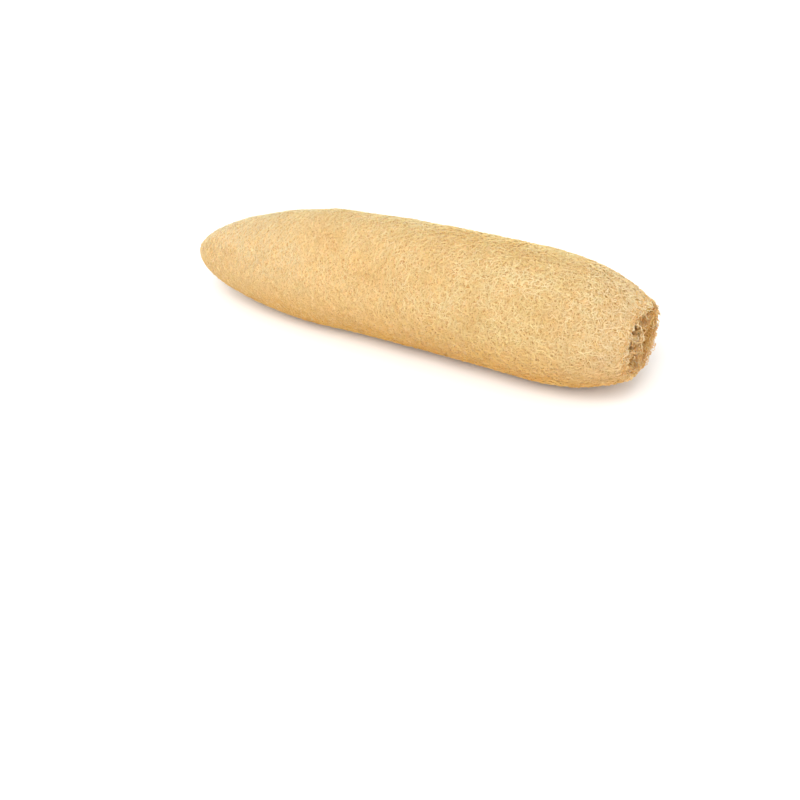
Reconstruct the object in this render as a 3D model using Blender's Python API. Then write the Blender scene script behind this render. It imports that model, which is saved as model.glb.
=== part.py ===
"""Natural loofah sponge, lying on its side.

The sponge is the dried fibre skeleton of one gourd: a long, gently bent body with a
rounded tip at -X and a straight knife cut at +X. Three seed channels run through it
and open in the cut end. Its underside has settled flat on what it lies on.

Units are metres. +X runs from the tip to the cut end, +Z is up, and the origin is at
the middle of the footprint, on the surface that the sponge lies on.
"""

import math

import bmesh
import bpy
from mathutils import Vector

# Driving sizes
LENGTH = 0.305
BELLY_RADIUS = 0.0415
CUT_RADIUS_SHARE = 0.604  # the cut end is drawn in, as a share of the belly
TAIL_RADIUS_SHARE = 0.888  # the half towards the tip is slimmer than the belly
BELLY_START = 0.8  # share of the length at which the swelling is complete
TIP_LENGTH_SHARE = 0.322  # how much of the length rounds off into the tip
TIP_FULLNESS = 1.59  # with TIP_ROUNDNESS 0.5, 2 would be an ellipse, and less is slimmer
TIP_ROUNDNESS = 0.54
TIP_PUCKER_RADIUS = 0.0022  # the withered flower scar at the very tip
SHOULDER_SHARE = 0.207  # how much of the length draws in to the cut
SHOULDER_POWER = 2.3
FLATTENING = 0.97  # height over width of a section
SETTLED_DEPTH = 0.0013  # how far the underside is pressed flat
BENT_TIP_SHARE = 0.45  # how much of the length the bend of the tip takes
TIP_DROOP = 0.009
TIP_SWAY = 0.003
BOW = 0.0055  # sideways bend of the middle
CUT_SKEW = math.tan(math.radians(5.0))  # the knife cut isn't quite square
SKEW_ONSET = 4  # the sections turn from square to the cut's slant near the cut
LOBES = 3
LOBE_DEPTH = 0.018  # share of the radius
LOBE_TWIST = math.radians(40.0)  # turn of the lobes over the length

# Seed channels
CHANNEL_PHASE = math.radians(90.0)
CHANNEL_OFFSET = 0.0175  # from the body's axis to the channel's, along the belly
CHANNEL_RADIUS = 0.0105
CHANNEL_START = 0.22  # share of the length, at the channel's closed end
CHANNEL_END = 1.03
CHANNEL_ROUNDING = 0.16  # share of the channel's own length that rounds off its closed end
CHANNEL_LEAST = 0.004  # square of the share of the radius left at the very end
DISH_RADIUS_SHARE = 0.84
DISH_DEPTH = 0.009

# Mesh fineness
BODY_SEGMENTS = 44
BODY_RINGS = 46
CHANNEL_SEGMENTS = 18
CHANNEL_RINGS = 18
DISH_SEGMENTS = 28
DISH_RINGS = 14
BODY_RING_CROWDING = 1.35  # above 1 draws the rings together towards the tip
CHANNEL_RING_CROWDING = 1.3

FLOOR_CUTTER_SIZE = 0.5
FIBRE_COLOUR = (0.80, 0.58, 0.30, 1.0)
FIBRE_ROUGHNESS = 0.85


def smooth_step(value: float) -> float:
    """Rise from 0 to 1 with level ends."""
    held = min(max(value, 0.0), 1.0)
    return held * held * (3.0 - 2.0 * held)


def barrel_radius(t: float) -> float:
    """Radius of the body without its rounded tip and drawn-in cut end."""
    swell = TAIL_RADIUS_SHARE + (1.0 - TAIL_RADIUS_SHARE) * smooth_step(t / BELLY_START)
    return BELLY_RADIUS * swell


def cut_narrowing(t: float) -> float:
    """Share of the barrel's radius that is left as the body draws in to the cut."""
    near_cut = max((min(t, 1.0) - 1.0 + SHOULDER_SHARE) / SHOULDER_SHARE, 0.0)
    return 1.0 - (1.0 - CUT_RADIUS_SHARE) * near_cut**SHOULDER_POWER


def body_radius(t: float) -> float:
    """Radius of the body at a share t of its length from the tip."""
    near_tip = max(1.0 - t / TIP_LENGTH_SHARE, 0.0)
    tip = max(1.0 - near_tip**TIP_FULLNESS, 0.0) ** TIP_ROUNDNESS
    return max(barrel_radius(t) * tip * cut_narrowing(t), TIP_PUCKER_RADIUS)


def axis_point(t: float) -> Vector:
    """Centre of the section at t: the belly lies along the floor and the tip droops."""
    bend = max(1.0 - t / BENT_TIP_SHARE, 0.0) ** 2
    height = FLATTENING * barrel_radius(t) - SETTLED_DEPTH - TIP_DROOP * bend
    sideways = BOW * math.sin(math.pi * t) + TIP_SWAY * bend
    return Vector((LENGTH * (t - 0.5), sideways, height))


def body_point(t: float, angle: float) -> Vector:
    """Point of the body's surface at t, at an angle round the axis."""
    lobes = 1.0 + LOBE_DEPTH * math.cos(LOBES * angle + LOBE_TWIST * t)
    radius = body_radius(t) * lobes
    across = radius * math.cos(angle)
    up = FLATTENING * radius * math.sin(angle)
    return axis_point(t) + Vector((CUT_SKEW * smooth_step(t) ** SKEW_ONSET * across, across, up))


def channel_point(t: float, angle: float, phase: float) -> Vector:
    """Point of a seed channel's wall; the channel lies at the phase round the axis.

    The channel is straight along the belly and draws in with the body to the cut.
    """
    run = (t - CHANNEL_START) / (CHANNEL_END - CHANNEL_START)
    near_end = max(1.0 - run / CHANNEL_ROUNDING, 0.0)
    closing = max(1.0 - near_end**2, CHANNEL_LEAST) ** 0.5
    offset = CHANNEL_OFFSET * cut_narrowing(t)
    radius = CHANNEL_RADIUS * cut_narrowing(t) * closing
    line = axis_point(max(t, BELLY_START))
    across = offset * math.cos(phase) + radius * math.cos(angle)
    up = FLATTENING * (offset * math.sin(phase) + radius * math.sin(angle))
    return Vector((axis_point(t).x, line.y + across, line.z + up))


def wrapped_tube(name: str, segments: int, rings: int, place) -> bpy.types.Object:
    """A capped cylinder laid along X, its every point moved to place(u, angle), u from 0 to 1.

    Its axis Z becomes X, X becomes Y and Y becomes Z, so its faces still point out.
    """
    bm = bmesh.new()
    bmesh.ops.create_cone(bm, cap_ends=True, segments=segments, radius1=1.0, radius2=1.0, depth=1.0)
    long_edges = [e for e in bm.edges if abs(e.verts[0].co.z - e.verts[1].co.z) > 0.5]
    bmesh.ops.subdivide_edges(bm, edges=long_edges, cuts=rings - 2, use_grid_fill=False)
    for vert in bm.verts:
        vert.co = place(vert.co.z + 0.5, math.atan2(vert.co.y, vert.co.x))
    mesh = bpy.data.meshes.new(name)
    bm.to_mesh(mesh)
    bm.free()
    mesh.shade_smooth()
    return bpy.data.objects.new(name, mesh)


def fibre_material() -> bpy.types.Material:
    """Dry, straw-coloured plant fibre without any gloss."""
    material = bpy.data.materials.new("dry_loofah_fibre")
    material.use_nodes = True
    shader = material.node_tree.nodes["Principled BSDF"]
    shader.inputs["Base Color"].default_value = FIBRE_COLOUR
    shader.inputs["Roughness"].default_value = FIBRE_ROUGHNESS
    shader.inputs["Metallic"].default_value = 0.0
    return material


def make_body() -> bpy.types.Object:
    """The whole outer form, with its rings closer together towards the tip."""

    def place(u: float, angle: float) -> Vector:
        return body_point(u**BODY_RING_CROWDING, angle)

    return wrapped_tube("loofah_sponge", BODY_SEGMENTS, BODY_RINGS, place)


def make_channel(index: int) -> bpy.types.Object:
    """Cutter for one seed channel."""
    phase = CHANNEL_PHASE + index * math.tau / LOBES

    def place(u: float, angle: float) -> Vector:
        t = CHANNEL_START + (CHANNEL_END - CHANNEL_START) * u**CHANNEL_RING_CROWDING
        return channel_point(t, angle, phase)

    return wrapped_tube(f"channel_cutter_{index}", CHANNEL_SEGMENTS, CHANNEL_RINGS, place)


def make_dish() -> bpy.types.Object:
    """Cutter that sinks the inner web a little below the rim of the cut end."""
    bm = bmesh.new()
    bmesh.ops.create_uvsphere(bm, u_segments=DISH_SEGMENTS, v_segments=DISH_RINGS, radius=1.0)
    cut_radius = body_radius(1.0) * DISH_RADIUS_SHARE
    centre = axis_point(1.0)
    for vert in bm.verts:
        across = vert.co.x * cut_radius
        up = vert.co.y * cut_radius * FLATTENING
        along = vert.co.z * DISH_DEPTH + CUT_SKEW * across
        vert.co = centre + Vector((along, across, up))
    mesh = bpy.data.meshes.new("dish_cutter")
    bm.to_mesh(mesh)
    bm.free()
    return bpy.data.objects.new("dish_cutter", mesh)


def make_floor() -> bpy.types.Object:
    """Cutter for everything below the surface that the sponge lies on."""
    bm = bmesh.new()
    bmesh.ops.create_cube(bm, size=FLOOR_CUTTER_SIZE)
    bmesh.ops.translate(bm, verts=bm.verts, vec=(0.0, 0.0, -FLOOR_CUTTER_SIZE / 2))
    mesh = bpy.data.meshes.new("floor_cutter")
    bm.to_mesh(mesh)
    bm.free()
    return bpy.data.objects.new("floor_cutter", mesh)


def cut_with(body: bpy.types.Object, cutter: bpy.types.Object, into: bpy.types.Collection):
    """Take the cutter's shape out of the body, and keep the cutter out of sight."""
    into.objects.link(cutter)
    cutter.hide_render = True
    cutter.display_type = "WIRE"
    cut = body.modifiers.new(cutter.name, "BOOLEAN")
    cut.operation = "DIFFERENCE"
    cut.solver = "EXACT"
    cut.object = cutter


def centre_footprint(body: bpy.types.Object, cutters: bpy.types.Collection):
    """Stand body and cutters on an empty that puts the origin under the box's middle."""
    corners = [vert.co for vert in body.data.vertices]
    middle_x = (max(c.x for c in corners) + min(c.x for c in corners)) / 2
    middle_y = (max(c.y for c in corners) + min(c.y for c in corners)) / 2
    footprint = bpy.data.objects.new("footprint", None)
    footprint.location = (-middle_x, -middle_y, 0.0)
    body.users_collection[0].objects.link(footprint)
    for obj in (body, *cutters.objects):
        obj.parent = footprint


def main():
    """Build the sponge."""
    for obj in list(bpy.data.objects):
        bpy.data.objects.remove(obj)
    parts = bpy.data.collections.new("natural_loofah_sponge")
    cutters = bpy.data.collections.new("cutters")
    for collection in (parts, cutters):
        bpy.context.scene.collection.children.link(collection)

    body = make_body()
    parts.objects.link(body)
    body.data.materials.append(fibre_material())
    for index in range(LOBES):
        cut_with(body, make_channel(index), cutters)
    cut_with(body, make_dish(), cutters)
    cut_with(body, make_floor(), cutters)
    centre_footprint(body, cutters)


main()
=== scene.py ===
"""Looks of a natural loofah sponge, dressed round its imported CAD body.

A loofah is the dried vein skeleton of one gourd: a felt of curly, straw-coloured fibres over
an airy core, with seed channels that open in the cut end. The CAD body gives its form. A
porous bed just under that form fills the gaps between fibres, and Geometry Nodes lay the
fibres over it in crossing layers, finely combed round the tip and curling every way towards
the cut. The cut end has a ragged rim, lined channels, torn webs and veils of its own.

Units are metres. +X runs from the tip to the cut end and +Z is up, as in the CAD.
"""

import logging
import math
from dataclasses import dataclass, field
from enum import Enum
from functools import partial
from typing import Any, Callable, Union

import bmesh
import bpy
import numpy as np
from bpy.types import ID, Material, Mesh, Node, NodeSocket, NodeTree, Object
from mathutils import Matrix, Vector, noise


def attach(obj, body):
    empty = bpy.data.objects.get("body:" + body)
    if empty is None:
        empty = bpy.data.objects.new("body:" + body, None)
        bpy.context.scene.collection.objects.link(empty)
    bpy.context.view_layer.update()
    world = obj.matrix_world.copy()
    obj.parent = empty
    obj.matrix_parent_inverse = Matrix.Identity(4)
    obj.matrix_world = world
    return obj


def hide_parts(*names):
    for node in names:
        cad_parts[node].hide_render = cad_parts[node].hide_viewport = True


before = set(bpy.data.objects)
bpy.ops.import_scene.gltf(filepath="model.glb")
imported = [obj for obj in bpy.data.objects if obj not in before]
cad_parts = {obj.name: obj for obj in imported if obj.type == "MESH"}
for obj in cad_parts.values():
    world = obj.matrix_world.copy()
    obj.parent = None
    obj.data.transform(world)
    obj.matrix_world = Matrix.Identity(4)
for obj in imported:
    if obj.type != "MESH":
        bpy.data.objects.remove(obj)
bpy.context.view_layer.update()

NODE = "loofah_sponge"
MM = 0.001
STRAND_SIDES = 3  # corners of a strand's section

MATHS = "ShaderNodeMath"
VECTORS = "ShaderNodeVectorMath"
NOISE = "ShaderNodeTexNoise"
SPAN = "ShaderNodeMapRange"
MIX = "ShaderNodeMix"
ROTATE = "ShaderNodeVectorRotate"
RAMP = "ShaderNodeValToRGB"
STORED = "ShaderNodeAttribute"
CAPTURE = "GeometryNodeCaptureAttribute"
MOVE = "GeometryNodeSetPosition"

Pair = tuple[float, float]
Triple = tuple[float, float, float]
Array = np.ndarray
Edge = Union[float, Array]
Source = Union[Node, NodeSocket]
Adder = Callable[..., Node]
log = logging.getLogger("loofah")


class Zone(Enum):
    """Parts of a surface, each a vertex attribute that weighs how thickly fibres grow."""

    OUTSIDE = "outside"
    CHANNELS = "channels"
    CUT_FACE = "cut_face"
    RIM_FACE = "rim_face"
    TORN_SHEET = "torn_sheet"


class Guide(Enum):
    """What a wash of colour follows."""

    PATCHES = "broad chance patches"
    MOTTLE = "small chance patches"
    DEPTH = "depth in the mat, from 0 at its foot to 1 at its top"
    ALONG = "metres along X"
    HEIGHT = "metres above the floor, with a wavering edge"


def linear(code: str) -> tuple[float, float, float, float]:
    """Turn an sRGB hex code into the linear colour that shaders want.

    Args:
        code: Six hex digits after a hash sign.

    Returns:
        Red, green, blue and an alpha of 1.
    """
    shares = [int(code[i : i + 2], 16) / 255 for i in (1, 3, 5)]
    low = [c / 12.92 if c <= 0.04045 else ((c + 0.055) / 1.055) ** 2.4 for c in shares]
    return (*low, 1.0)


def smooth(value: Array, low: Edge, high: Edge) -> Array:
    """Rise from 0 at low to 1 at high with level ends.

    Args:
        value: Where to read the step.
        low: Where it starts.
        high: Where it ends, which may be below low for a falling step.

    Returns:
        The step's height at each value.
    """
    held = np.clip((value - low) / (high - low), 0.0, 1.0)
    return held * held * (3.0 - 2.0 * held)


def ripple(value: Array, seed: int, waves: int = 5) -> Array:
    """Give a smooth chance wave that closes on itself.

    Args:
        value: Where to read it, with a period of 1.
        seed: Which wave.
        waves: How many sines are in it.

    Returns:
        Heights between about -1 and 1.
    """
    chance = np.random.default_rng(seed)
    height = np.zeros_like(value)
    for number in range(1, waves + 1):
        phase, size = chance.uniform(0.0, math.tau), chance.uniform(0.4, 1.0)
        height += size * np.sin(math.tau * number * value + phase)
    return height / math.sqrt(waves)


def read(rows: Any, name: str, width: int = 1, kind: type = float) -> Array:
    """Read one property of every vertex, edge, corner or face.

    Args:
        rows: A mesh's collection of them.
        name: The property.
        width: How many numbers it has.
        kind: What type they are.

    Returns:
        The numbers, in rows where the property has more than one.
    """
    values = np.empty(len(rows) * width, dtype=kind)
    rows.foreach_get(name, values)
    return values if width == 1 else values.reshape(-1, width)


def store(mesh: Mesh, name: str, values: Array) -> None:
    """Store a number on each vertex of a mesh."""
    attribute = mesh.attributes.new(name, "FLOAT", "POINT")
    attribute.data.foreach_set("value", values.astype(np.float32))


def flat_grid(name: str, cells: tuple[int, int], side: float = 1.0) -> Mesh:
    """Make a flat square of cells round the origin.

    Args:
        name: The mesh's name.
        cells: How many cells it has along X and Y.
        side: Its side.

    Returns:
        The mesh.
    """
    bm = bmesh.new()
    bmesh.ops.create_grid(bm, x_segments=cells[0], y_segments=cells[1], size=side / 2)
    mesh = bpy.data.meshes.new(name)
    bm.to_mesh(mesh)
    bm.free()
    return mesh


def put_in_scene(name: str, data: ID) -> Object:
    """Put a mesh, a lamp or a camera into the scene, as an object at the origin.

    Args:
        name: The object's name.
        data: The mesh, lamp or camera.

    Returns:
        The object.
    """
    obj = bpy.data.objects.new(name, data)
    bpy.context.scene.collection.objects.link(obj)
    return obj


def fill_inputs(node: Node, links: Union[tuple, dict]) -> None:
    """Link or set the inputs of a node.

    Args:
        node: The node.
        links: What goes into the inputs, in order, or by name or number. A node stands for its
            first output that is in use, and None leaves an input as it is.
    """
    pairs = links.items() if isinstance(links, dict) else enumerate(links)
    for key, value in pairs:
        if value is None:
            continue
        if isinstance(value, Node):
            value = next(s for s in value.outputs if s.enabled)
        if isinstance(value, NodeSocket):
            node.id_data.links.new(value, node.inputs[key])
        else:
            node.inputs[key].default_value = value


def add_node(
    tree: NodeTree,
    kind: str,
    links: Union[tuple, dict] = (),
    captures: tuple[tuple[str, str, Source], ...] = (),
    **settings: Any,
) -> Node:
    """Add a node with its settings and links.

    Args:
        tree: The tree that gets the node.
        kind: Blender's name for the kind of node.
        links: What goes into the inputs, as fill_inputs takes it.
        captures: Name, type and source of all that a Capture Attribute node carries along.
        **settings: The node's own properties.

    Returns:
        The new node.
    """
    node = tree.nodes.new(kind)
    for name, value in settings.items():
        setattr(node, name, value)
    fill_inputs(node, links)
    for name, data_type, source in captures:
        node.capture_items.new(data_type, name)
        fill_inputs(node, {name: source})
    return node


def set_ramp(node: Node, stops: dict[float, str]) -> Node:
    """Set the stops of a Color Ramp node.

    Args:
        node: The node.
        stops: Hex colours by their place between 0 and 1.

    Returns:
        The same node.
    """
    elements = node.color_ramp.elements
    while len(elements) > 1:
        elements.remove(elements[-1])
    for index, (place, code) in enumerate(stops.items()):
        element = elements[0] if index == 0 else elements.new(place)
        element.position = place
        element.color = linear(code)
    return node


def new_material(name: str) -> tuple[Material, Node, Adder]:
    """Start a material.

    Args:
        name: What the real one is.

    Returns:
        The material, its shader, and add_node for its tree.
    """
    made = bpy.data.materials.new(name)
    made.use_nodes = True
    tree = made.node_tree
    return made, tree.nodes["Principled BSDF"], partial(add_node, tree)


def new_tree(name: str, inputs: dict[str, tuple[str, ...]]) -> tuple[NodeTree, Any, Adder]:
    """Start a Geometry Nodes tree that takes and gives a geometry.

    Args:
        name: The tree's name.
        inputs: Names of its inputs after the geometry, by the type of their sockets.

    Returns:
        The tree, its inputs by name, and add_node for it.
    """
    tree = bpy.data.node_groups.new(name, "GeometryNodeTree")
    tree.interface.new_socket("Geometry", in_out="OUTPUT", socket_type="NodeSocketGeometry")
    for kind, labels in {"Geometry": ("Geometry",), **inputs}.items():
        for label in labels:
            tree.interface.new_socket(label, in_out="INPUT", socket_type=f"NodeSocket{kind}")
    return tree, tree.nodes.new("NodeGroupInput").outputs, partial(add_node, tree)


def finish_tree(add: Adder, geometry: Source, material: Source) -> None:
    """End a Geometry Nodes tree with smooth, plain, dressed geometry.

    Args:
        add: add_node for the tree.
        geometry: What the tree has made.
        material: What it is dressed in.
    """
    rounded = add("GeometryNodeSetShadeSmooth", (geometry,))
    realised = add("GeometryNodeRealizeInstances", (rounded,))
    dressed = add("GeometryNodeSetMaterial", {"Geometry": realised, "Material": material})
    add("NodeGroupOutput", (dressed,))


def run_tree(name: str, carrier: Mesh, tree: NodeTree, values: dict[str, Any]) -> Object:
    """Run a Geometry Nodes tree on a mesh and keep the result as a plain mesh.

    Args:
        name: Name of the new object.
        carrier: The mesh that the tree gets.
        tree: The tree.
        values: What its named inputs are set to.

    Returns:
        An object at the origin that holds the result and has no modifier.
    """
    obj = put_in_scene(name, carrier)
    modifier = obj.modifiers.new(tree.name, "NODES")
    modifier.node_group = tree
    sockets = {s.name: s.identifier for s in tree.interface.items_tree if s.in_out == "INPUT"}
    for label, value in values.items():
        modifier[sockets[label]] = value
    evaluated = obj.evaluated_get(bpy.context.evaluated_depsgraph_get())
    mesh = bpy.data.meshes.new_from_object(evaluated)
    mesh.name = name
    obj.modifiers.remove(modifier)
    obj.data = mesh
    return obj


@dataclass(frozen=True)
class BedFinish:
    """Matted inner fibre: the felted layer behind the surface mat, amber and dull.

    It shows only through gaps. Fine curly lines, where noises cross their middle value, make
    it read as more fibres further down, with small dark pores between them: painted shade of
    the holes in the mat. The hollows at the cut end are brown, partly for fibre that the sun
    hasn't bleached and partly as painted shade of the hollows. Light sinks deep into it, as it
    would into the open mesh that it stands for.
    """

    line_code: str = "#EECA8F"
    # Painted shade: the pores are darker for the shade down in the holes of the mat
    pore_shade_code: str = "#C5965A"
    # The hollow colours are browner for fibre that the sun hasn't bleached, and darker as painted
    # shade of the hollows
    hollow_line_code: str = "#DFA85E"
    hollow_pore_shade_code: str = "#C08238"
    curl_sets: int = 3
    sets_apart: float = 7.0
    curl_width: float = 2.2 * MM
    curl_twist: float = 0.6
    line_share: float = 0.065
    line_edge: Pair = (0.1, 0.8)
    line_height: float = 0.35 * MM
    roughness: float = 0.9
    glow_share: float = 0.7
    glow_radius: Triple = (1.0, 0.6, 0.3)
    glow_depth: float = 7.0 * MM

    def material(self) -> Material:
        """Build the material: crossing sets of curly lines over pores darkened with painted shade.

        Returns:
            The material.
        """
        made, shader, add = new_material("matted_loofah_felt")
        place = add("ShaderNodeTexCoord").outputs["Object"]
        lines = 0.0
        for number in range(self.curl_sets):
            curls = add(
                NOISE,
                {
                    "Vector": place,
                    "W": self.sets_apart * number,
                    "Scale": 1.0 / self.curl_width,
                    "Detail": 1.0,
                    "Distortion": self.curl_twist,
                },
                noise_dimensions="4D",
            )
            off_middle = add(MATHS, (curls, 0.5), operation="SUBTRACT")
            distance = add(MATHS, (off_middle,), operation="ABSOLUTE")
            line = add(
                SPAN, {"Value": distance, "From Max": self.line_share, "To Min": 1.0, "To Max": 0.0}
            )
            lines = add(MATHS, (lines, line), operation="MAXIMUM")
        outer, hollow = (
            set_ramp(add(RAMP, (lines,)), dict(zip(self.line_edge, codes)))
            for codes in (
                (self.pore_shade_code, self.line_code), (self.hollow_pore_shade_code, self.hollow_line_code)
            )
        )
        # The hollow colours are partly painted shade of the hollows
        in_hollow = add(STORED, attribute_name="hollow").outputs["Fac"]
        colour = add(MIX, {0: in_hollow, 6: outer, 7: hollow}, data_type="RGBA")
        bump = add("ShaderNodeBump", {"Distance": self.line_height, "Height": lines})
        fill_inputs(
            shader,
            {
                "Base Color": colour.outputs[2],
                "Normal": bump,
                "Roughness": self.roughness,
                "Subsurface Weight": self.glow_share,
                "Subsurface Radius": self.glow_radius,
                "Subsurface Scale": self.glow_depth,
            },
        )
        return made


@dataclass(frozen=True)
class Wash:
    """A wash of colour over the fibres, with none of it where its guide reads clear.

    A wash that multiplies keeps the fibres' own tones apart, and one that mixes evens them out.
    """

    guide: Guide
    clear: float
    full: float
    most: float
    code: str
    blend: str = "MIX"


@dataclass(frozen=True)
class StrandFinish:
    """Dried vein fibre: retted, washed and sun-bleached, so matt and straw-pale.

    Each fibre has a tone of its own, and washes of colour lie over them all: bleached and
    stained patches, a paler tip and cut end, and painted shade that turns them amber towards
    the floor and down in the mat.
    """

    name: str = "bleached_loofah_fibre"
    tones: tuple[str, ...] = ("#E9C78A", "#EECF92", "#F2D69B", "#F5DDA9")
    washes: tuple[Wash, ...] = (
        Wash(Guide.PATCHES, 0.50, 0.70, 0.45, "#DDAC64"),
        Wash(Guide.PATCHES, 0.48, 0.30, 0.60, "#F7E3B4"),
        Wash(Guide.MOTTLE, 0.52, 0.75, 0.35, "#E5C582"),
        Wash(Guide.ALONG, 95 * MM, 148 * MM, 0.35, "#F1DABE"),
        Wash(Guide.ALONG, -40 * MM, -140 * MM, 0.70, "#E6D5B1"),
        # Painted shade: the fibres darken to amber towards the floor
        Wash(Guide.HEIGHT, 45 * MM, 14 * MM, 1.0, "#F2D4A2", "MULTIPLY"),
        # Painted shade: the fibres turn amber and darker down in the mat, in the shade of those above
        Wash(Guide.DEPTH, 0.60, 0.0, 0.62, "#DBAA64"),
    )
    patch_width: float = 30 * MM
    mottle_width: float = 9 * MM
    waver: float = 48 * MM
    grain_width: float = 0.35 * MM
    grain_depth: float = 0.05 * MM
    roughness: float = 0.72
    roughness_range: float = 0.1
    glow_share: float = 0.5
    glow_radius: Triple = (1.0, 0.7, 0.4)
    glow_depth: float = 0.6 * MM

    def guides(self, add: Adder, place: NodeSocket) -> dict[Guide, Source]:
        """Add the nodes that the washes follow.

        Args:
            add: add_node for the material's tree.
            place: Object coordinates.

        Returns:
            Each guide's node or socket.
        """
        patches = add(NOISE, {"Vector": place, "Scale": 1.0 / self.patch_width, "Detail": 2.0})
        mottle = add(
            NOISE,
            {"Vector": place, "W": 5.0, "Scale": 1.0 / self.mottle_width, "Detail": 1.0},
            noise_dimensions="4D",
        )
        apart = add("ShaderNodeSeparateXYZ", (place,)).outputs
        off_middle = add(MATHS, (patches, 0.5), operation="SUBTRACT")
        return {
            Guide.PATCHES: patches,
            Guide.MOTTLE: mottle,
            Guide.DEPTH: add(STORED, attribute_name="strand_height").outputs["Fac"],
            Guide.ALONG: apart["X"],
            Guide.HEIGHT: add(MATHS, (off_middle, self.waver, apart["Z"]), operation="MULTIPLY_ADD"),
        }

    def material(self) -> Material:
        """Build the material from the fibres' own tones and the washes over them.

        Returns:
            The material.
        """
        made, shader, add = new_material(self.name)
        place = add("ShaderNodeTexCoord").outputs["Object"]
        tone = add(STORED, attribute_name="strand_tone").outputs["Fac"]
        stops = {i / (len(self.tones) - 1): code for i, code in enumerate(self.tones)}
        colour = set_ramp(add(RAMP, (tone,)), stops).outputs["Color"]
        guides = self.guides(add, place)
        for wash in self.washes:
            share = add(
                SPAN,
                {
                    "Value": guides[wash.guide],
                    "From Min": wash.clear,
                    "From Max": wash.full,
                    "To Max": wash.most,
                },
            )
            colour = add(
                MIX,
                {0: share, 6: colour, 7: linear(wash.code)},
                data_type="RGBA",
                blend_type=wash.blend,
            ).outputs[2]
        grain = add(NOISE, {"Vector": place, "Scale": 1.0 / self.grain_width, "Detail": 1.0})
        dullness = add(
            SPAN,
            {
                "Value": grain,
                "To Min": self.roughness - self.roughness_range,
                "To Max": self.roughness + self.roughness_range,
            },
        )
        bump = add("ShaderNodeBump", {"Distance": self.grain_depth, "Height": grain})
        fill_inputs(
            shader,
            {
                "Base Color": colour,
                "Roughness": dullness,
                "Normal": bump,
                "Subsurface Weight": self.glow_share,
                "Subsurface Radius": self.glow_radius,
                "Subsurface Scale": self.glow_depth,
            },
        )
        return made


# Fibre that lies in the sun, all over the outside: pale straw
BLEACHED_FIBRE = StrandFinish()

# Fibre in the hollows: amber brown, partly for fibre that the sun hasn't reached and partly
# as painted shade of the hollows, and darker further down in the mat with painted shade
BROWN_FIBRE = StrandFinish(
    "brown_loofah_fibre",
    tones=("#DBA254", "#E6B267", "#EFC37D", "#F5D498"),
    # Painted shade: darker down in the mat
    washes=(Wash(Guide.DEPTH, 0.7, 0.0, 0.5, "#C48D45"),),
)

# Fibre of the torn webs, half bleached: straw with brown stains
STRAW_FIBRE = StrandFinish(
    "straw_loofah_fibre",
    tones=("#DFA764", "#EBBB7B", "#F3CD94", "#F9E0B4"),
    washes=(Wash(Guide.MOTTLE, 0.45, 0.75, 0.5, "#D39A5C"),),
)


@dataclass(frozen=True)
class PaperFinish:
    """Uncoated white paper, rolled flat: bright and without gloss."""

    code: str = "#F8F7F5"
    roughness: float = 0.9
    specular: float = 0.1

    def material(self) -> Material:
        """Build the material, which is the same all over.

        Returns:
            The material.
        """
        made, shader, _ = new_material("matt_white_paper")
        fill_inputs(
            shader,
            {
                "Base Color": linear(self.code),
                "Roughness": self.roughness,
                "Specular IOR Level": self.specular,
            },
        )
        return made


@dataclass
class BodyForm:
    """The sponge's form, measured on the CAD mesh: its ends and, along X, its sections.

    The knife cut slants by knife_slant degrees, so the last whole section lies a little
    before it, and the one at the cut is worked out from those before it.
    """

    mesh: Mesh
    stations: int = 60
    knife_slant: float = 5.0
    knife_room: float = 5.2 * MM
    tip_x: float = field(init=False)
    cut_x: float = field(init=False)
    xs: Array = field(init=False)
    centres: Array = field(init=False)
    halves: Array = field(init=False)

    def __post_init__(self) -> None:
        """Slice the mesh at even steps along X."""
        points = read(self.mesh.vertices, "co", 3)
        edges = read(self.mesh.edges, "vertices", 2, np.int64)
        starts, stops = points[edges[:, 0]], points[edges[:, 1]]
        self.tip_x, self.cut_x = float(points[:, 0].min()), float(points[:, 0].max())
        margin = 0.5 * (self.cut_x - self.tip_x) / self.stations
        self.xs = np.linspace(self.tip_x + margin, self.cut_x - self.knife_room, self.stations)
        lows, highs = [], []
        for x in self.xs:
            crossing = (starts[:, 0] - x) * (stops[:, 0] - x) < 0
            a, b = starts[crossing], stops[crossing]
            share = ((x - a[:, 0]) / (b[:, 0] - a[:, 0]))[:, None]
            section = (a + (b - a) * share)[:, 1:]
            lows.append(section.min(axis=0))
            highs.append(section.max(axis=0))
        beyond = self.knife_room / (self.xs[-1] - self.xs[-2])
        for rows in (lows, highs):
            rows.append(rows[-1] + (rows[-1] - rows[-2]) * beyond)
        self.xs = np.append(self.xs, self.cut_x)
        self.centres = (np.array(highs) + np.array(lows)) / 2
        self.halves = (np.array(highs) - np.array(lows)) / 2

    def out_share(self, points: Array) -> Array:
        """Tell how far out each point lies in its section.

        Args:
            points: Rows of x, y and z.

        Returns:
            0 on the section's centre and about 1 on its outer edge.
        """
        share = np.zeros(len(points))
        for axis in (0, 1):
            centre = np.interp(points[:, 0], self.xs, self.centres[:, axis])
            half = np.interp(points[:, 0], self.xs, self.halves[:, axis])
            share += ((points[:, axis + 1] - centre) / half) ** 2
        return np.sqrt(share)

    def knife_x(self, y: Array) -> Array:
        """Tell where the knife cut lies along X, at places across the sponge."""
        far_side = self.centres[-1][0] + self.halves[-1][0]
        return self.cut_x + math.tan(math.radians(self.knife_slant)) * (y - far_side)


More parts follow.
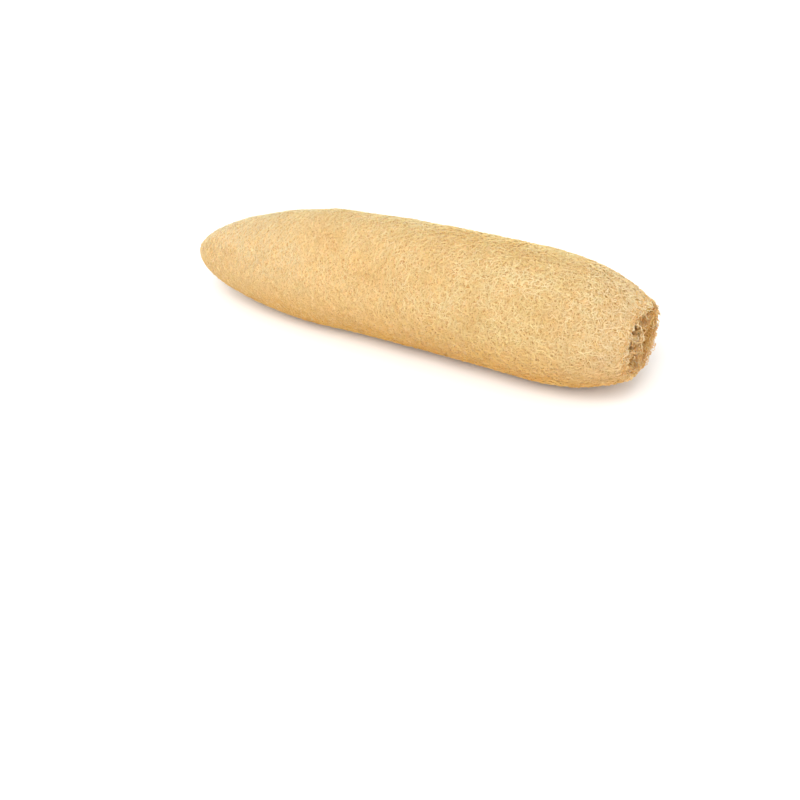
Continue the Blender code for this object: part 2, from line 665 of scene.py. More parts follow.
@dataclass
class FibreBed:
    """The porous core: the CAD form a little shrunken, which closes the gaps between fibres.

    Its zones are told apart by distance from the tip and from the cut, by the share of the
    way out to the skin, and by how far a face looks along X. Each pair is where a zone's edge
    starts and where it is complete.
    """

    form: BodyForm
    voxel: float = 2.3 * MM
    tip_zone: Pair = (30 * MM, 20 * MM)
    skin_zone: Pair = (0.84, 0.93)
    rim_zone: Pair = (0.78, 0.86)
    face_slope: Pair = (0.45, 0.75)
    face_depth: Pair = (20 * MM, 16 * MM)
    lining_depth: Pair = (36 * MM, 24 * MM)
    belly_zone: Pair = (50 * MM, 200 * MM)
    tip_sink: float = 0.5 * MM
    belly_sink: float = 1.1 * MM
    hollow_sink: float = 0.5 * MM
    lump_width: float = 4.0 * MM
    lump_height: float = 0.3 * MM
    dent_width: float = 24 * MM
    dent_depth: float = 0.6 * MM
    dents_from: float = 5 * MM
    dents_full: float = 16 * MM
    smooth_tip: float = 60 * MM
    surface: Mesh = field(init=False)

    def remeshed(self) -> Mesh:
        """Make one even mesh from a merged copy of the CAD node.

        Returns:
            The mesh.
        """
        bm = bmesh.new()
        bm.from_mesh(self.form.mesh)
        bmesh.ops.remove_doubles(bm, verts=bm.verts, dist=MM / 1000)
        merged = bpy.data.meshes.new("merged_body")
        bm.to_mesh(merged)
        bm.free()
        obj = put_in_scene("merged_body", merged)
        remesh = obj.modifiers.new("even_faces", "REMESH")
        remesh.mode = "VOXEL"
        remesh.voxel_size = self.voxel
        evaluated = obj.evaluated_get(bpy.context.evaluated_depsgraph_get())
        mesh = bpy.data.meshes.new_from_object(evaluated)
        bpy.data.objects.remove(obj)
        return mesh

    def mark_zones(self, mesh: Mesh) -> None:
        """Store how much each vertex belongs to each zone, and how far the bed sinks there.

        Args:
            mesh: The even mesh, before it shrinks.
        """
        points, normals = read(mesh.vertices, "co", 3), read(mesh.vertices, "normal", 3)
        out = self.form.out_share(points)
        from_tip, before_cut = points[:, 0] - self.form.tip_x, self.form.cut_x - points[:, 0]
        tip = smooth(from_tip, *self.tip_zone)
        facing = smooth(normals[:, 0], *self.face_slope) * smooth(before_cut, *self.face_depth)
        outside = np.maximum(smooth(out, *self.skin_zone), tip) * (1.0 - facing)
        rim = smooth(out, *self.rim_zone)
        in_belly = smooth(from_tip, *self.belly_zone)
        skin_sink = self.tip_sink + (self.belly_sink - self.tip_sink) * in_belly
        lined = smooth(before_cut, *self.lining_depth)
        stored = {
            Zone.OUTSIDE.value: outside,
            Zone.CUT_FACE.value: facing * (1.0 - rim),
            Zone.RIM_FACE.value: facing * rim,
            Zone.CHANNELS.value: (1.0 - outside) * (1.0 - facing) * lined,
            # Where the bed takes its hollow colours, which are partly painted shade of the hollows
            "hollow": (1.0 - rim) * (1.0 - tip),
            "sink": self.hollow_sink + (skin_sink - self.hollow_sink) * outside,
        }
        for name, values in stored.items():
            store(mesh, name, values)

    def dent(self, mesh: Mesh) -> None:
        """Make the surface a little uneven, but not where it rests or at the very tip.

        Args:
            mesh: The even mesh, with its zones marked.
        """
        zones = mesh.attributes[Zone.OUTSIDE.value].data
        moved = []
        for vertex, zone in zip(mesh.vertices, zones):
            wave = noise.noise(vertex.co / self.dent_width)
            lifted = (vertex.co.z - self.dents_from) / (self.dents_full - self.dents_from)
            from_tip = (vertex.co.x - self.form.tip_x) / self.smooth_tip
            share = zone.value * min(max(lifted, 0.0), 1.0) * min(from_tip, 1.0)
            moved.append(vertex.co - self.dent_depth * wave * share * vertex.normal)
        mesh.vertices.foreach_set("co", np.array(moved).ravel())
        mesh.update()

    def press_tree(self) -> NodeTree:
        """Build the tree that draws the surface in and makes it lumpy.

        Returns:
            The tree.
        """
        sizes = {"Float": ("Lump Width", "Lump Height"), "Material": ("Material",)}
        tree, given, add = new_tree("pressed_in", sizes)
        scale = add(MATHS, (1.0, given["Lump Width"]), operation="DIVIDE")
        lumps = add(NOISE, {"Scale": scale, "Detail": 1.0})
        centred = add(MATHS, (lumps, 0.5), operation="SUBTRACT")
        height = add(MATHS, (centred, given["Lump Height"]), operation="MULTIPLY")
        sink = add("GeometryNodeInputNamedAttribute", ("sink",), data_type="FLOAT")
        depth = add(MATHS, (height, sink), operation="SUBTRACT")
        normal = add("GeometryNodeInputNormal")
        offset = add(VECTORS, {0: normal, "Scale": depth}, operation="SCALE")
        moved = add(MOVE, {"Geometry": given["Geometry"], "Offset": offset})
        finish_tree(add, moved, given["Material"])
        return tree

    def build(self, finish: BedFinish) -> Object:
        """Build the bed.

        Args:
            finish: What it is finished with.

        Returns:
            The bed. The surface that the fibres follow is kept in self.surface.
        """
        self.surface = self.remeshed()
        self.mark_zones(self.surface)
        self.dent(self.surface)
        values = {
            "Lump Width": self.lump_width,
            "Lump Height": self.lump_height,
            "Material": finish.material(),
        }
        bed = run_tree("fibre_bed", self.surface, self.press_tree(), values)
        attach(bed, "root")
        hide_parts(NODE)
        log.info("fibre_bed: %d faces", len(bed.data.polygons))
        return bed


STRAND_INPUTS = {
    "String": ("Zone",),
    "Int": ("Points", "Seed"),
    "Float": (
        *("Density", "Spacing", "Length", "Thin Radius", "Thick Radius", "Tip X", "Cut X"),
        *("Tip Fineness", "Tip Spread", "Cut Spread", "Tip Bend", "Cut Bend", "Wobble", "Hold"),
        *("Low", "High", "Weave", "Weave Width", "End Dive", "Overhang", "Floor Gap"),
    ),
    "Material": ("Material",),
}


@dataclass
class StrandTree:
    """The tree that lays curly strands over a surface, with the inputs of STRAND_INPUTS.

    Each strand starts as steps along a heading that bends and wobbles, laid out in the plane
    that touches the surface at the strand's middle. Its points are then drawn to the nearest
    surface, as far as Hold says, and lifted to the strand's own level, with ends that dive
    into the mat. Towards the tip the strands are finer and lie flatter.

    Strands are combed round comb_axis, which is nearly X. A noise's range is what it reads at
    the two ends of a full swing.
    """

    comb_axis: Triple = (1.0, 0.02, 0.03)
    seeds_apart: float = 31.0
    reaches: Pair = (0.65, 1.35)
    bend_power: float = 0.5
    swing_scale: float = 2.6
    strands_apart: float = 7.31
    swing_range: Pair = (0.2, 0.8)
    weave_range: Pair = (0.25, 0.75)
    end_power: float = 5.0
    end_width: float = 0.55
    shown_levels: Pair = (-1.2 * MM, 0.3 * MM)
    tree: NodeTree = field(init=False)
    given: Any = field(init=False)
    add: Adder = field(init=False)
    own: Any = field(init=False)

    def __post_init__(self) -> None:
        """Build the tree."""
        self.tree, self.given, self.add = new_tree("strand_mat", STRAND_INPUTS)
        self.own = self.root()
        laid, centred = self.lay_flat()
        half_share = self.add(MATHS, (centred, 2.0), operation="MULTIPLY")
        end_share = self.add(MATHS, (half_share,), operation="ABSOLUTE")
        near_end = self.add(MATHS, (end_share, self.end_power), operation="POWER")
        settled, lift = self.settle(laid, near_end)
        finish_tree(self.add, self.thicken(settled, lift, near_end), self.given["Material"])

    def root(self) -> Any:
        """Scatter the strands' middles, and give each strand its own chances.

        Returns:
            Outputs by name: the middles as points, and what each carries along.
        """
        add, given = self.add, self.given
        zone = add("GeometryNodeInputNamedAttribute", (given["Zone"],), data_type="FLOAT")
        spots = add(
            "GeometryNodeDistributePointsOnFaces",
            {
                "Mesh": given["Geometry"],
                "Distance Min": given["Spacing"],
                "Density Max": given["Density"],
                "Density Factor": zone,
                "Seed": given["Seed"],
            },
            distribute_method="POISSON",
        )
        ranges = (
            (-1.0, 1.0),
            (-1.0, 1.0),
            self.reaches,
            (given["Low"], given["High"]),
            (given["Thin Radius"], given["Thick Radius"]),
            (0.0, 1.0),
        )
        chances = []
        for number, (low, high) in enumerate(ranges, start=1):
            seed = add(MATHS, (given["Seed"], self.seeds_apart * number), operation="ADD")
            chances.append(add("FunctionNodeRandomValue", {2: low, 3: high, "Seed": seed}))
        turn, bend, reach, level, thickness, tone = chances

        position, normal = add("GeometryNodeInputPosition"), spots.outputs["Normal"]
        along = add("ShaderNodeSeparateXYZ", (position,))
        to_cut = add(SPAN, (along, given["Tip X"], given["Cut X"]), interpolation_type="SMOOTHSTEP")
        spread, most_bend, fineness = (
            add(MIX, {0: to_cut, 2: at_tip, 3: at_cut})
            for at_tip, at_cut in (
                (given["Tip Spread"], given["Cut Spread"]),
                (given["Tip Bend"], given["Cut Bend"]),
                (given["Tip Fineness"], 1.0),
            )
        )
        bend_size = add(MATHS, (bend,), operation="ABSOLUTE")
        strong_bend = add(MATHS, (bend_size, self.bend_power), operation="POWER")
        bend_side = add(MATHS, (bend,), operation="SIGN")
        side_bend = add(MATHS, (bend_side, most_bend), operation="MULTIPLY")
        turned, bent, lifted, thinned = (
            add(MATHS, pair, operation="MULTIPLY")
            for pair in (
                (turn, spread), (strong_bend, side_bend), (level, fineness), (thickness, fineness)
            )
        )
        around = add(VECTORS, (normal, self.comb_axis), operation="CROSS_PRODUCT")
        combed = add(VECTORS, (around,), operation="NORMALIZE")
        forward = add(ROTATE, {"Vector": combed, "Axis": normal, "Angle": turned})
        carried = (
            ("root", "VECTOR", position),
            ("normal", "VECTOR", normal),
            ("forward", "VECTOR", forward),
            ("bend", "FLOAT", bent),
            ("reach", "FLOAT", reach),
            ("level", "FLOAT", lifted),
            ("thickness", "FLOAT", thinned),
            ("fineness", "FLOAT", fineness),
            ("tone", "FLOAT", tone),
            ("strand", "INT", add("GeometryNodeInputIndex")),
        )
        return add(CAPTURE, (spots.outputs["Points"],), carried).outputs

    def lay_flat(self) -> tuple[Source, Source]:
        """Lay each strand out flat, as steps added up along its heading.

        Returns:
            The strands, and where each point lies in its own, from -0.5 to 0.5.
        """
        add, given, own = self.add, self.given, self.own
        end = add("ShaderNodeCombineXYZ", (given["Length"],))
        line = add("GeometryNodeCurvePrimitiveLine", {"End": end})
        stepped = add("GeometryNodeResampleCurve", {"Curve": line, "Count": given["Points"]})
        placed = add("GeometryNodeInstanceOnPoints", {"Points": own["Geometry"], "Instance": stepped})
        strands = add("GeometryNodeRealizeInstances", (placed,))

        share_along = add("GeometryNodeSplineParameter").outputs["Factor"]
        centred = add(MATHS, (share_along, 0.5), operation="SUBTRACT")
        curl = add(MATHS, (own["bend"], centred), operation="MULTIPLY")
        spot = add(MATHS, (own["strand"], self.strands_apart, share_along), operation="MULTIPLY_ADD")
        wave = add(NOISE, {"W": spot, "Scale": self.swing_scale, "Detail": 0.0}, noise_dimensions="1D")
        swing = add(SPAN, (wave, *self.swing_range, -1.0, 1.0), clamp=False)
        angle = add(MATHS, (swing, given["Wobble"], curl), operation="MULTIPLY_ADD")
        heading = add(ROTATE, {"Vector": own["forward"], "Axis": own["normal"], "Angle": angle})
        whole = add(MATHS, (given["Length"], own["reach"]), operation="MULTIPLY")
        gaps = add(MATHS, (given["Points"], 1.0), operation="SUBTRACT")
        stride = add(MATHS, (whole, gaps), operation="DIVIDE")
        step = add(VECTORS, {0: heading, "Scale": stride}, operation="SCALE")
        path = add(
            "GeometryNodeAccumulateField",
            {"Value": step, "Group ID": own["strand"]},
            data_type="FLOAT_VECTOR",
        ).outputs
        halfway = add(VECTORS, {0: path["Total"], "Scale": -0.5}, operation="SCALE")
        from_middle = add(VECTORS, (path["Trailing"], halfway), operation="ADD")
        place = add(VECTORS, (own["root"], from_middle), operation="ADD")
        return add(MOVE, {"Geometry": strands, "Position": place}), centred

    def settle(self, laid: Source, near_end: Source) -> tuple[Source, Source]:
        """Draw the strands to the surface and lift them to levels of their own.

        Args:
            laid: The strands laid out flat.
            near_end: 1 at a strand's ends, and soon 0 away from them.

        Returns:
            The strands in place, and how far each point is lifted off the surface.
        """
        add, given, own = self.add, self.given, self.own
        place = add("GeometryNodeInputPosition")
        nearest = add(
            "GeometryNodeProximity",
            {"Geometry": given["Geometry"], "Sample Position": place},
            target_element="FACES",
        )
        drawn = add(MIX, {0: given["Hold"], 4: place, 5: nearest}, data_type="VECTOR")
        normal = (("normal", "VECTOR", add("GeometryNodeInputNormal")),)
        surface = add(CAPTURE, (given["Geometry"],), normal, domain="POINT").outputs
        outwards = add(
            "GeometryNodeSampleNearestSurface",
            {"Mesh": surface["Geometry"], "Value": surface["normal"], "Sample Position": place},
            data_type="FLOAT_VECTOR",
        )
        weave_scale = add(MATHS, (1.0, given["Weave Width"]), operation="DIVIDE")
        weave = add(
            NOISE,
            {"Vector": place, "W": own["strand"], "Scale": weave_scale, "Detail": 0.0},
            noise_dimensions="4D",
        )
        over_under = add(SPAN, (weave, *self.weave_range, -1.0, 1.0), clamp=False)
        weave_height, dive_depth = (
            add(MATHS, (given[size], own["fineness"]), operation="MULTIPLY")
            for size in ("Weave", "End Dive")
        )
        woven = add(MATHS, (over_under, weave_height, own["level"]), operation="MULTIPLY_ADD")
        dive = add(MATHS, (near_end, dive_depth), operation="MULTIPLY")
        lift = add(MATHS, (woven, dive), operation="SUBTRACT")
        raised = add(VECTORS, {0: outwards, "Scale": lift}, operation="SCALE")
        on_surface = add(VECTORS, (drawn, raised), operation="ADD")

        held = add("ShaderNodeSeparateXYZ", (on_surface,)).outputs
        furthest = add(MATHS, (given["Cut X"], given["Overhang"]), operation="ADD")
        within_cut = add(MATHS, (held["X"], furthest), operation="MINIMUM")
        above_floor = add(MATHS, (held["Z"], given["Floor Gap"]), operation="MAXIMUM")
        kept_in = add("ShaderNodeCombineXYZ", (within_cut, held["Y"], above_floor))
        return add(MOVE, {"Geometry": laid, "Position": kept_in}), lift

    def thicken(self, settled: Source, lift: Source, near_end: Source) -> Source:
        """Store what the finish reads, and give the strands their bodies.

        Args:
            settled: The strands in place.
            lift: How far each point is lifted off the surface.
            near_end: 1 at a strand's ends, and soon 0 away from them.

        Returns:
            The strands' bodies.
        """
        add, strands = self.add, settled
        # strand_height guides the painted shade that darkens the fibres down in the mat
        height = add(SPAN, (lift, *self.shown_levels))
        for name, source in (("strand_tone", self.own["tone"]), ("strand_height", height)):
            strands = add(
                "GeometryNodeStoreNamedAttribute",
                {"Geometry": strands, "Name": name, "Value": source},
                data_type="FLOAT",
                domain="POINT",
            )
        taper = add(SPAN, {"Value": near_end, "To Min": 1.0, "To Max": self.end_width})
        radius = add(MATHS, (self.own["thickness"], taper), operation="MULTIPLY")
        section = add("GeometryNodeCurvePrimitiveCircle", {"Resolution": STRAND_SIDES, "Radius": 1.0})
        return add(
            "GeometryNodeCurveToMesh",
            {"Curve": strands, "Profile Curve": section, "Scale": radius, "Fill Caps": True},
        )


@dataclass(frozen=True)
class StrandLayout:
    """A UV map with a cell for each strand.

    A strand runs along U from ring to ring and round along V. Its two caps stand at the ends
    of its cell, with a width of their own. Places and spans are shares of a cell.
    """

    columns_to_rows: float = 0.6
    sides_from: float = 0.15
    sides_span: float = 0.7
    cap_near: float = 0.03
    cap_far: float = 0.1
    round_from: float = 0.1
    round_span: float = 0.8

    def apply(self, mesh: Mesh, rings: int) -> None:
        """Add the map.

        Args:
            mesh: Strands with the same number of rings on each, ring after ring. Their sides
                are quads, and the two caps have STRAND_SIDES corners.
            rings: How many rings a strand has.
        """
        sides = STRAND_SIDES
        corners = read(mesh.loops, "vertex_index", kind=np.int64)
        sizes = read(mesh.polygons, "loop_total", kind=np.int64)
        face = np.repeat(np.arange(len(sizes)), sizes)
        strand, spot = np.divmod(corners, rings * sides)
        ring, side = np.divmod(spot, sides)
        is_cap = sizes[face] == sides
        side_sum = np.bincount(face, weights=side)[face]
        last_side = ~is_cap & (side_sum == 2 * (sides - 1))
        around = side + sides * (last_side & (side == 0))
        along = self.sides_from + self.sides_span * ring / (rings - 1)
        beyond = np.where(side == 1, self.cap_far, self.cap_near)
        along += is_cap * np.where(ring == 0, -beyond, beyond)
        count = int(strand.max()) + 1
        columns = max(int(math.sqrt(count * self.columns_to_rows)), 1)
        row, column = np.divmod(strand, columns)
        upwards = row + self.round_from + self.round_span * around / sides
        flat = np.column_stack(((column + along) / columns, upwards / math.ceil(count / columns)))
        layout = mesh.uv_layers.new(name="OFBake")
        layout.data.foreach_set("uv", flat.astype(np.float32).ravel())


@dataclass
class StrandLayer:
    """One layer of strands over a zone of a surface.

    Spreads and bends are whole angles in degrees, at the tip and at the cut, and wobble is
    in degrees too. Levels are measured from the surface. tip_fineness is what is left of
    thickness, level, weave and end dive at the tip, up to combed_share of the length.
    """

    name: str
    seed: int
    zone: Zone = Zone.OUTSIDE
    density: float = 240000.0
    spacing: float = 1.95 * MM
    length: float = 6.3 * MM
    points: int = 6
    thin_radius: float = 0.20 * MM
    thick_radius: float = 0.34 * MM
    tip_fineness: float = 0.5
    combed_share: float = 0.3
    spreads: Pair = (50.0, 110.0)
    bends: Pair = (70.0, 320.0)
    wobble: float = 45.0
    hold: float = 1.0
    levels: Pair = (-0.9 * MM, 0.4 * MM)
    weave: float = 0.2 * MM
    weave_width: float = 2.5 * MM
    end_dive: float = 0.5 * MM
    overhang: float = 0.6 * MM
    floor_gap: float = 0.42 * MM

    def build(self, form: BodyForm, surface: Mesh, tree: NodeTree, finish: Material) -> Object:
        """Lay the strands.

        Args:
            form: The sponge's measures.
            surface: The surface that the strands follow.
            tree: The tree of a StrandTree.
            finish: The strands' material.

        Returns:
            The layer, one plain mesh.
        """
        values = {
            "Zone": self.zone.value,
            "Tip X": form.tip_x + self.combed_share * (form.cut_x - form.tip_x),
            "Cut X": form.cut_x,
            "Wobble": math.radians(self.wobble),
            "Low": self.levels[0],
            "High": self.levels[1],
            "Material": finish,
        }
        for end, spread, bend in zip(("Tip", "Cut"), self.spreads, self.bends):
            values[f"{end} Spread"], values[f"{end} Bend"] = math.radians(spread), math.radians(bend)
        # The other numbers are fields of the same name
        for label in (*STRAND_INPUTS["Int"], *STRAND_INPUTS["Float"]):
            if label not in values:
                values[label] = getattr(self, label.lower().replace(" ", "_"))
        layer = run_tree(self.name, surface, tree, values)
        self.drop_surface_attributes(layer.data)
        StrandLayout().apply(layer.data, self.points)
        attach(layer, "root")
        strands = len(layer.data.vertices) // (STRAND_SIDES * self.points)
        log.info("%s: %d strands", self.name, strands)
        return layer

    @staticmethod
    def drop_surface_attributes(mesh: Mesh) -> None:
        """Drop what the strands have taken over from the surface under them.

        Args:
            mesh: The strands.
        """
        kept = ("strand_tone", "strand_height", "material_index", "sharp_face")
        for name in [a.name for a in mesh.attributes if a.domain in ("POINT", "FACE")]:
            attribute = mesh.attributes[name]
            if not (name in kept or attribute.is_required or attribute.is_internal):
                mesh.attributes.remove(attribute)


@dataclass
class TornSheet:
    """A sheet that guides fibres and isn't shown itself, read along u and v from 0 to 1."""

    name: str
    cells: tuple[int, int]
    mesh: Mesh = field(init=False)
    u: Array = field(init=False)
    v: Array = field(init=False)

    def __post_init__(self) -> None:
        """Start the sheet flat."""
        self.mesh = flat_grid(self.name, self.cells)
        flat = read(self.mesh.vertices, "co", 3)
        self.u, self.v = flat[:, 0] + 0.5, flat[:, 1] + 0.5

    def shape(self, x: Array, y: Array, z: Array, share: Array) -> Mesh:
        """Shape the sheet.

        Args:
            x: Where each vertex goes, along X.
            y: The same along Y.
            z: The same along Z.
            share: How thickly fibres grow there.

        Returns:
            The sheet's mesh.
        """
        self.mesh.vertices.foreach_set("co", np.column_stack((x, y, z)).ravel())
        store(self.mesh, Zone.TORN_SHEET.value, share)
        self.mesh.update()
        return self.mesh


@dataclass
class CutEnd:
    """The knife-cut end: a ragged rim, brown linings that are partly painted shade, and torn webs and
    veils in the hollow.

    Torn sheets guide the fibres: rings that run on past the rim, a web on each wall between
    two channels, a knot where the webs meet, and a veil in each channel's mouth. Angles are
    in degrees round the body's axis. An edge tells where the fibres have thinned out beyond a
    torn line, and where before it none are missing.
    """

    form: BodyForm
    bed: FibreBed
    tree: NodeTree
    channels: int = 3
    rim_inside: float = 3.0 * MM
    rim_beyond: float = 3.6 * MM
    rim_draw_in: float = 0.55
    rim_wave: float = 0.6 * MM
    rim_edge: Pair = (0.8 * MM, -0.6 * MM)
    outer_inset: float = 0.5 * MM
    outer_tear: float = 1.2 * MM
    inner_inset: float = 3.4 * MM
    inner_tear: float = 2.6 * MM
    stray_tear: float = 1.6 * MM
    web_first: float = 30.0
    web_reach: float = 20.0 * MM
    web_depth: float = 9.5 * MM
    web_wave: float = 1.8 * MM
    web_lean_rates: Pair = (0.6, 0.3)
    web_tear: float = 3.2 * MM
    web_tear_rate: float = 0.8
    web_edge: Pair = (0.5 * MM, -0.8 * MM)
    web_lowered: float = 0.4
    knot_radius: float = 4.2 * MM
    knot_unevenness: float = 0.2
    knot_tallness: float = 1.25
    knot_sunk: float = 0.9
    channel_first: float = 90.0
    channel_offset: float = 12.6 * MM
    channel_radius: float = 8.6 * MM
    veil_depths: Pair = (7.0 * MM, 17.0 * MM)
    veil_wave: float = 2.0 * MM
    veil_unevenness: float = 0.2
    veil_zone: Pair = (0.15, 0.75)

    def rim(self, inset: float, seed: int, tear: float) -> Mesh:
        """Make a ring sheet that follows the wall to the rim and runs on past it.

        Args:
            inset: How far it lies inside the outer surface.
            seed: Seed of its torn edge.
            tear: How far the torn edge wanders.

        Returns:
            The sheet.
        """
        sheet = TornSheet("rim_sheet", (160, 12))
        centre, half = self.form.centres[-1], self.form.halves[-1]
        beyond = -self.rim_inside + sheet.v * (self.rim_inside + self.rim_beyond)
        wave = self.rim_wave * ripple(sheet.u * 2 % 1, seed + 5)
        inwards = inset + self.rim_draw_in * beyond + wave
        y = centre[0] + (half[0] - inwards) * np.cos(math.tau * sheet.u)
        z = centre[1] + (half[1] - inwards) * np.sin(math.tau * sheet.u)
        edge = tear * ripple(sheet.u, seed, waves=14)
        share = smooth(beyond, edge + self.rim_edge[0], edge + self.rim_edge[1])
        return sheet.shape(self.form.knife_x(y) + beyond, y, z, share)

    def web(self, angle: float, seed: int) -> Mesh:
        """Make the sheet of one web, from the middle to the wall.

        Args:
            angle: Where it stands.
            seed: Seed of its waves and of its torn edge.

        Returns:
            The sheet.
        """
        sheet = TornSheet("web_sheet", (40, 20))
        turn = math.radians(angle)
        out = self.web_reach * sheet.u
        outwards, upwards = self.web_lean_rates
        lean = self.web_wave * ripple(outwards * sheet.u + upwards * sheet.v, seed, waves=3)
        y = self.form.centres[-1][0] + out * math.cos(turn) - lean * math.sin(turn)
        z = self.form.centres[-1][1] + out * math.sin(turn) + lean * math.cos(turn)
        beyond = self.web_depth * (sheet.v - 1.0)
        torn = ripple(self.web_tear_rate * sheet.u, seed + 1, waves=6)
        edge = self.web_tear * (torn - self.web_lowered)
        share = smooth(beyond, edge + self.web_edge[0], edge + self.web_edge[1])
        return sheet.shape(self.form.knife_x(y) + beyond, y, z, share)

    def knot(self) -> Mesh:
        """Make the sheet of the curled knot where the webs meet.

        Returns:
            The sheet.
        """
        sheet = TornSheet("knot_sheet", (28, 16))
        angle, rise = math.tau * sheet.u, math.pi * (sheet.v - 0.5)
        uneven = 1.0 + self.knot_unevenness * ripple(sheet.u, 77, waves=3)
        size = self.knot_radius * uneven
        y = self.form.centres[-1][0] + size * np.cos(rise) * np.cos(angle)
        height = self.knot_tallness * size * np.cos(rise) * np.sin(angle)
        x = self.form.knife_x(y) - self.knot_sunk * self.knot_radius + size * np.sin(rise)
        return sheet.shape(x, y, self.form.centres[-1][1] + height, np.ones_like(sheet.u))

    def veil(self, angle: float, seed: int) -> Mesh:
        """Make the sheet of the torn veil that hangs in one channel's mouth.

        Args:
            angle: Where the channel lies.
            seed: Seed of its waves.

        Returns:
            The sheet: a funnel that thins out towards its middle.
        """
        sheet = TornSheet("veil_sheet", (36, 10))
        turn, around = math.radians(angle), math.tau * sheet.u
        centre = self.form.centres[-1] + self.channel_offset * np.array(
            (math.cos(turn), math.sin(turn))
        )
        y = centre[0] + self.channel_radius * sheet.v * np.cos(around)
        z = centre[1] + self.channel_radius * sheet.v * np.sin(around)
        near, far = self.veil_depths
        wave = self.veil_wave * ripple(sheet.u, seed)
        depth = near + (far - near) * (1.0 - sheet.v) + wave
        uneven = self.veil_unevenness * ripple(sheet.u, seed + 1)
        share = smooth(sheet.v + uneven, *self.veil_zone)
        return sheet.shape(self.form.knife_x(y) - depth, y, z, share)

    def build(self, pale: Material, straw: Material, brown: Material) -> None:
        """Build the rim, the knot, the webs, the veils and the linings.

        Args:
            pale: Finish of the bleached fibres.
            straw: Finish of the webs' fibres.
            brown: Finish of the fibres in the hollows.
        """
        loose = partial(
            StrandLayer, zone=Zone.TORN_SHEET, tip_fineness=1.0, overhang=6 * MM, end_dive=0.0
        )
        curly = partial(loose, length=5 * MM, spreads=(180.0, 180.0))
        draped = partial(loose, length=8 * MM, bends=(160.0, 160.0))
        outer_rim = curly(
            "outer_rim", 31, density=900000.0, spacing=0.75 * MM, bends=(320.0, 320.0),
            hold=0.75, levels=(-0.4 * MM, 0.3 * MM),
        )
        inner_rim = curly(
            "inner_rim", 32, density=700000.0, spacing=0.9 * MM, bends=(300.0, 300.0),
            hold=0.6, levels=(-0.5 * MM, 0.5 * MM),
        )
        web_knot = curly(
            "web_knot", 33, density=900000.0, spacing=0.75 * MM, bends=(340.0, 340.0),
            hold=0.5, levels=(-1.2 * MM, 0.6 * MM),
        )
        sheets = [
            (outer_rim, self.rim(self.outer_inset, 31, self.outer_tear), pale),
            (inner_rim, self.rim(self.inner_inset, 32, self.inner_tear), straw),
            (web_knot, self.knot(), straw),
        ]
        for number in range(self.channels):
            turned = number * 360.0 / self.channels
            web = draped(
                f"web_{number + 1}", 41 + number, density=1500000.0, spacing=0.6 * MM,
                spreads=(70.0, 70.0), hold=0.8, levels=(-0.6 * MM, 0.6 * MM),
            )
            veil = draped(
                f"channel_veil_{number + 1}", 61 + number, density=1800000.0,
                spacing=0.55 * MM, spreads=(80.0, 80.0), hold=0.75,
                levels=(-0.8 * MM, 0.8 * MM),
            )
            sheets += [
                (web, self.web(self.web_first + turned, 50 + 3 * number), straw),
                # The veils are brown, partly as painted shade of the channels' mouths
                (veil, self.veil(self.channel_first + turned, 70 + 3 * number), brown),
            ]
        strays = curly(
            "rim_strays", 34, density=90000.0, spacing=2.2 * MM, length=9 * MM,
            thin_radius=0.18 * MM, thick_radius=0.3 * MM, bends=(150.0, 150.0), wobble=60.0,
            hold=0.15,
        )
        sheets.append((strays, self.rim(self.inner_inset, 35, self.stray_tear), pale))
        for layer, sheet, finish in sheets:
            layer.build(self.form, sheet, self.tree, finish)

        for zone, name, seed, finish in (
            (Zone.RIM_FACE, "rim_fold", 20, straw),
            # The brown of the hollow floor and the channel linings is partly painted shade of the
            # hollows
            (Zone.CUT_FACE, "hollow_floor", 21, brown),
            (Zone.CHANNELS, "channel_lining", 22, brown),
        ):
            StrandLayer(
                name, seed, zone, density=500000.0, spacing=1.0 * MM, length=6 * MM,
                tip_fineness=1.0, spreads=(180.0, 180.0), bends=(260.0, 260.0), hold=0.9,
                levels=(-0.3 * MM, 0.6 * MM), weave=0.4 * MM, overhang=3 * MM,
            ).build(self.form, self.bed.surface, self.tree, finish)


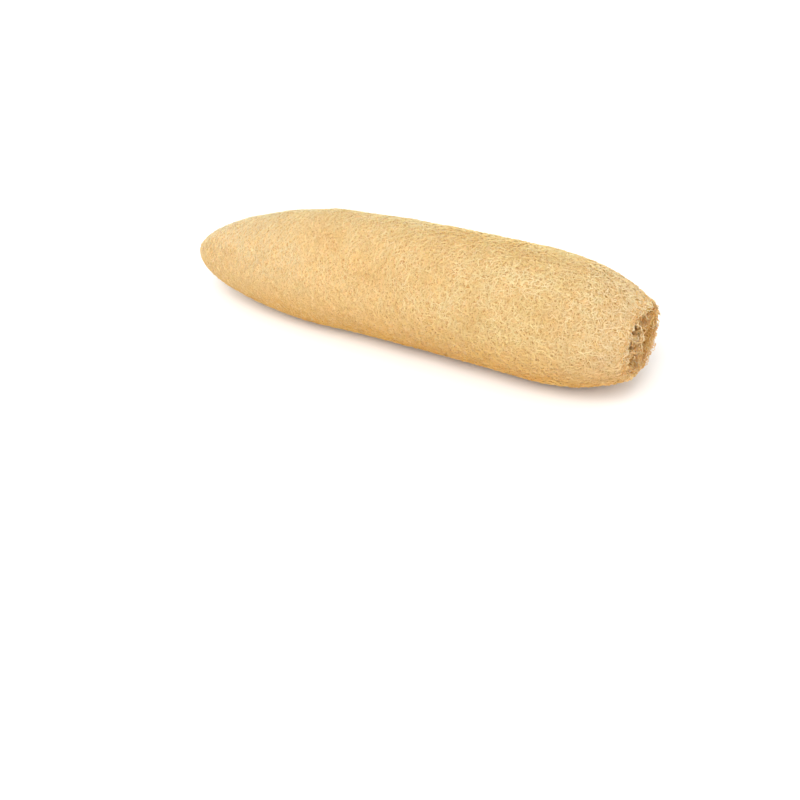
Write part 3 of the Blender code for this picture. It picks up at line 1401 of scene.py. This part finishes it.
@dataclass
class Studio:
    """A pale floor, a soft sky, one big soft lamp and the camera. Angles are in degrees."""

    floor_side: float = 8.0
    sky_strength: float = 1.03
    lamp_side: float = 1.6
    lamp_power: float = 31.0
    lamp_place: Triple = (0.05, -1.3, 1.45)
    lens: float = 85.0
    sensor: float = 36.0
    azimuth: float = 25.1
    elevation: float = 35.0
    distance: float = 1.184
    aim_right: float = -0.0089
    aim_up: float = -0.0756
    aim_height: float = 0.04

    def lay_floor(self) -> None:
        """Lay the floor that the sponge rests on."""
        mesh = flat_grid("studio_floor", (1, 1), self.floor_side)
        mesh.materials.append(PaperFinish().material())
        put_in_scene("studio_floor", mesh)

    def light(self) -> None:
        """Light the scene softly, from above and from the camera's side."""
        world = bpy.data.worlds.new("soft_sky")
        world.use_nodes = True
        sky = {"Color": (1.0, 1.0, 1.0, 1.0), "Strength": self.sky_strength}
        fill_inputs(world.node_tree.nodes["Background"], sky)
        bpy.context.scene.world = world
        lamp = bpy.data.lights.new("soft_box", "AREA")
        lamp.shape = "SQUARE"
        lamp.size = self.lamp_side
        lamp.energy = self.lamp_power
        box = put_in_scene("soft_box", lamp)
        box.location = self.lamp_place
        box.rotation_mode = "QUATERNION"
        box.rotation_quaternion = (-Vector(self.lamp_place)).to_track_quat("-Z", "Y")

    def place_camera(self) -> None:
        """Put the camera where it sees the sponge as the photograph does."""
        turn, rise = math.radians(self.azimuth), math.radians(self.elevation)
        right = Vector((math.cos(turn), math.sin(turn), 0.0))
        back = Vector(
            (math.sin(turn) * math.cos(rise), -math.cos(turn) * math.cos(rise), math.sin(rise))
        )
        aim = Vector((0.0, 0.0, self.aim_height))
        aim += self.aim_right * right + self.aim_up * back.cross(right)
        data = bpy.data.cameras.new("camera")
        data.lens, data.sensor_width = self.lens, self.sensor
        camera = put_in_scene("camera", data)
        camera.location = aim + self.distance * back
        camera.rotation_mode = "QUATERNION"
        camera.rotation_quaternion = (-back).to_track_quat("-Z", "Y")
        bpy.context.scene.camera = camera

    def build(self) -> None:
        """Set up the whole studio."""
        self.lay_floor()
        self.light()
        self.place_camera()
        bpy.context.scene.view_settings.view_transform = "Standard"


def main() -> None:
    """Build the sponge and its studio."""
    logging.basicConfig(level=logging.INFO, format="%(name)s: %(message)s")
    form = BodyForm(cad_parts[NODE].data)
    bed = FibreBed(form)
    bed.build(BedFinish())
    tree = StrandTree().tree
    pale, brown, straw = (finish.material() for finish in (BLEACHED_FIBRE, BROWN_FIBRE, STRAW_FIBRE))
    for layer in (
        StrandLayer("deep_mat", 11, points=4, bends=(60.0, 200.0), levels=(-0.9 * MM, -0.5 * MM)),
        StrandLayer("middle_mat", 12, points=5, bends=(70.0, 270.0), levels=(-0.7 * MM, -0.2 * MM)),
        StrandLayer("upper_mat", 13, spacing=2.26 * MM, levels=(-0.5 * MM, 0.0 * MM)),
        StrandLayer("surface_mat", 14, spacing=2.26 * MM, levels=(-0.3 * MM, 0.2 * MM)),
        StrandLayer(
            "loose_curls", 15, density=30000.0, spacing=2.4 * MM, length=6.0 * MM,
            thin_radius=0.18 * MM, thick_radius=0.28 * MM, bends=(200.0, 330.0), hold=0.8,
            levels=(0.0, 0.4 * MM),
        ),
    ):
        layer.build(form, bed.surface, tree, pale)
    CutEnd(form, bed, tree).build(pale, straw, brown)
    Studio().build()


if __name__ == "__main__":
    main()
